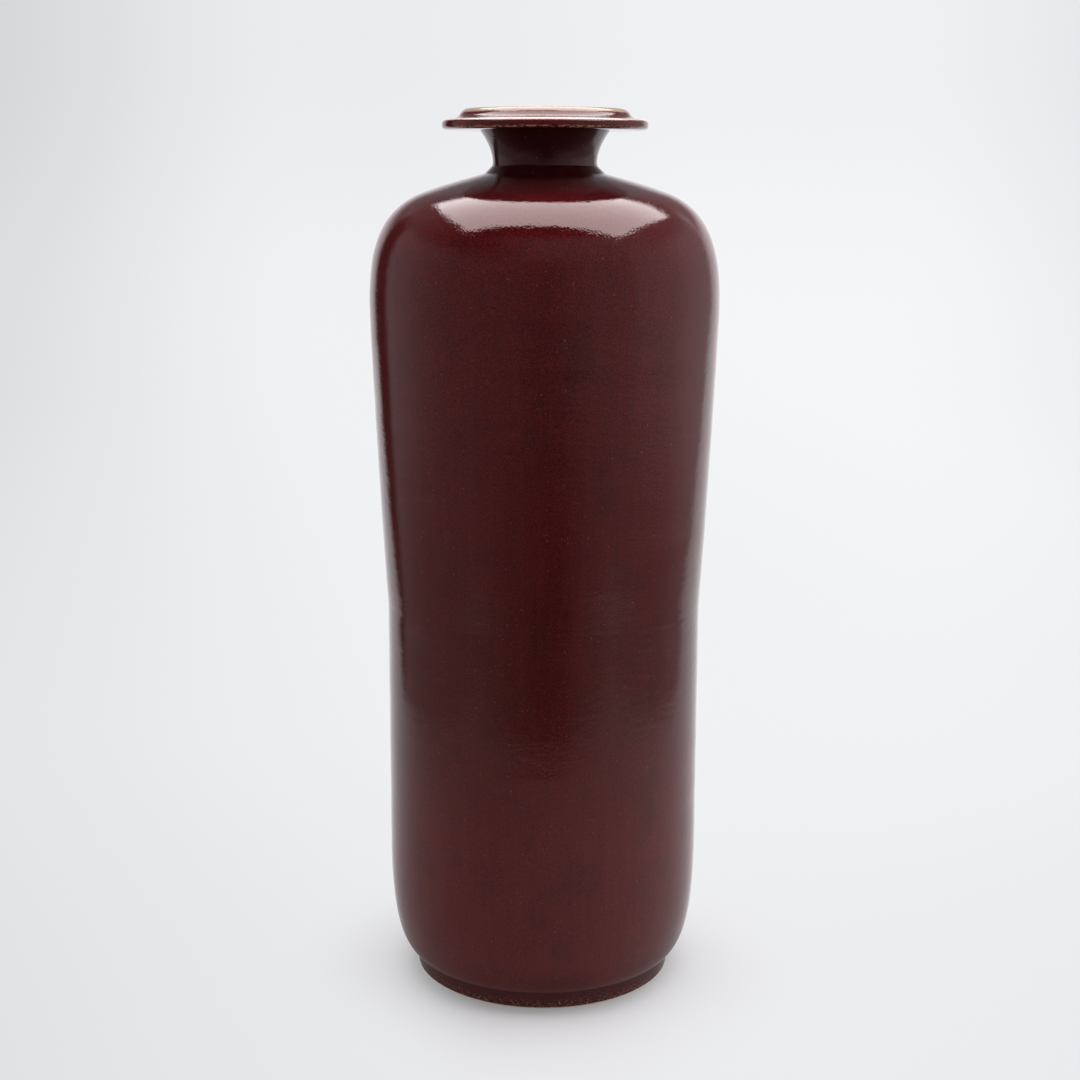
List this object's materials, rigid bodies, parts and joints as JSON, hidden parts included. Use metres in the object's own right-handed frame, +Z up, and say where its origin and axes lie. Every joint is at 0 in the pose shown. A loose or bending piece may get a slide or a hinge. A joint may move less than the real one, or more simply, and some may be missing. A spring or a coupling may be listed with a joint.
{
  "type": "floor vase",
  "caption": "Tall stoneware floor vase: high round shoulder, slightly waisted body, short narrow neck, flanged lip with a raised mouth, turned foot ring.",
  "frame": {"origin": "centre of the foot ring's bottom face, on the floor", "axes": "+Z up along the vase's axis of revolution; X and Y are free, because the vase is round"},
  "size_m": [0.2366, 0.2366, 0.6],
  "materials": {
    "stoneware": "bare fired stoneware, fine and sandy",
    "slip": "fired clay slip",
    "oxblood_glaze": "glossy dark brown-red glaze with fine dimples and specks",
    "liner_glaze": "glossy near-black red liner glaze"
  },
  "bodies": {
    "root": {"foot_ring": "stoneware", "foot_slip": "slip", "base_slab": "stoneware", "base_slip": "slip", "lower_wall": "stoneware", "waist_slip": "slip", "upper_wall": "stoneware", "neck_slip": "slip", "neck": "stoneware", "lip_slip": "slip", "lip": "stoneware", "outer_glaze": "oxblood_glaze", "inner_glaze": "liner_glaze"}
  },
  "joints": []
}
